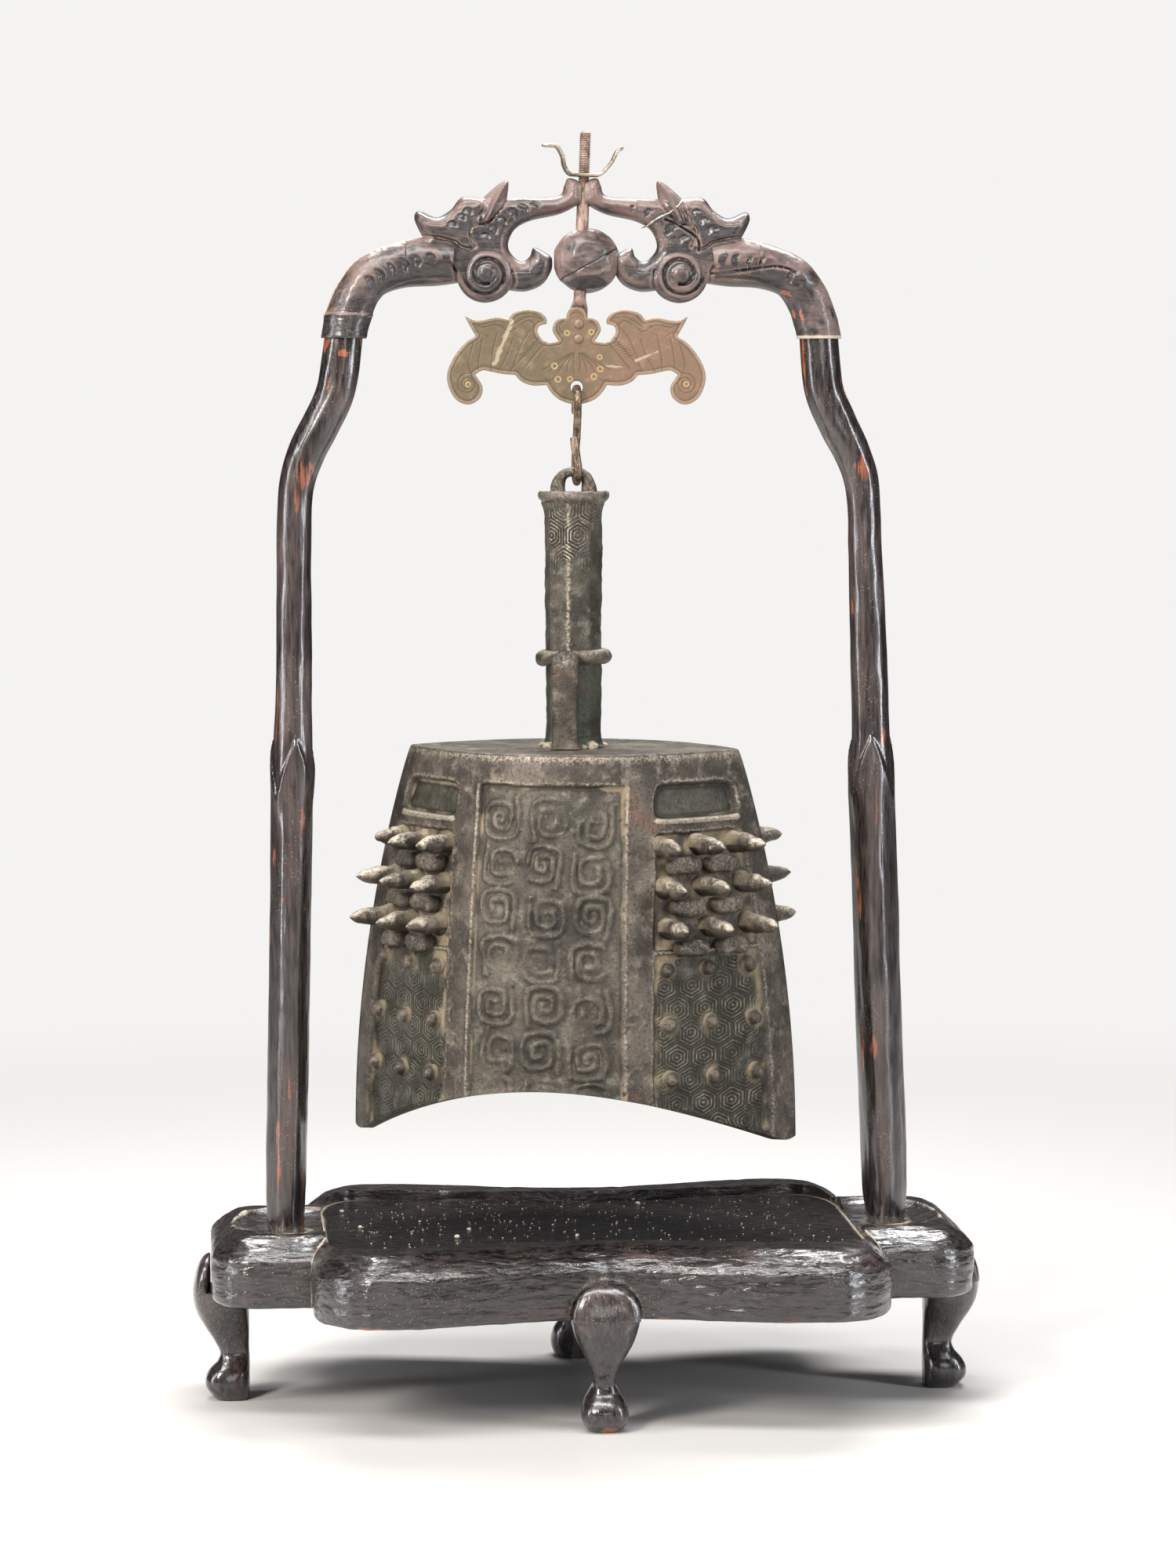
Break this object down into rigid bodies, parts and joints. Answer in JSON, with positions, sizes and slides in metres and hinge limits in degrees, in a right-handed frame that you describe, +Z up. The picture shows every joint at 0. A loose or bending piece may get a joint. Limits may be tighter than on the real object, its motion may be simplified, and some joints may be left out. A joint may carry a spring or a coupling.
{
  "type": "bronze bell on a stand",
  "caption": "Flat-sided bronze bell with long studs, hung by an S-hook from a bat-shaped plate in a carved wooden stand.",
  "frame": {"origin": "on the floor, under the middle of the stand's base", "axes": "+Z up, +X to the right and -Y to the front, seen from the front"},
  "size_m": [0.4502, 0.274, 0.7161],
  "materials": {
    "lacquered_wood": "dark lacquer, worn",
    "black_lacquer": "glossy black lacquer",
    "carved_wood": "worn lacquer over carving",
    "pale_wood": "bare wood",
    "bell_bronze": "cast, dark patina",
    "plate_brass": "tarnished sheet",
    "strip_brass": "pale, satin",
    "rusty_iron": "rusted",
    "hook_steel": "worn wire",
    "repair_wire": "bright wire"
  },
  "bodies": {
    "stand": {"front_rail": "lacquered_wood", "back_rail": "lacquered_wood", "left_end": "lacquered_wood", "right_end": "lacquered_wood", "tray_panel": "black_lacquer", "leg_front": "lacquered_wood", "leg_back": "lacquered_wood", "leg_left": "lacquered_wood", "leg_right": "lacquered_wood", "left_post": "lacquered_wood", "right_post": "lacquered_wood", "left_dowel": "pale_wood", "right_dowel": "pale_wood", "crest_left": "carved_wood", "crest_right": "carved_wood", "pearl": "carved_wood", "repair_wire": "repair_wire"},
    "hanger": {"hanger_rod": "rusty_iron", "bat_plate": "plate_brass", "upper_rivet": "plate_brass", "lower_rivet": "plate_brass"},
    "wing_nut": {"wing_nut": "strip_brass"},
    "hook": {"s_hook": "hook_steel"},
    "bell": {"bell_body": "bell_bronze", "bell_handle": "bell_bronze"}
  },
  "joints": [
    {"name": "rod_lift", "type": "slide", "parent": "stand", "child": "hanger", "axis": [0.0349, 0, 0.9994], "range_m": [-0.02, 0.004]},
    {"name": "wing_nut_turn", "type": "hinge", "parent": "stand", "child": "wing_nut", "pos_m": [-0.0023, 0, 0.6914], "axis": [0.0349, 0, 0.9994], "range_deg": [-1140, 5675]},
    {"name": "hook_sway", "type": "hinge", "parent": "hanger", "child": "hook", "pos_m": [-0.0064, 0, 0.5725], "axis": [0, 1, 0], "range_deg": [-4.5, 3]},
    {"name": "bell_swing", "type": "hinge", "parent": "hook", "child": "bell", "pos_m": [-0.0064, 0, 0.5285], "axis": [1, 0, 0], "range_deg": [-25, 25]}
  ],
  "couplings": [
    {"joint": "wing_nut_turn", "follows": "rod_lift", "rad_per_m": -4947.4}
  ]
}
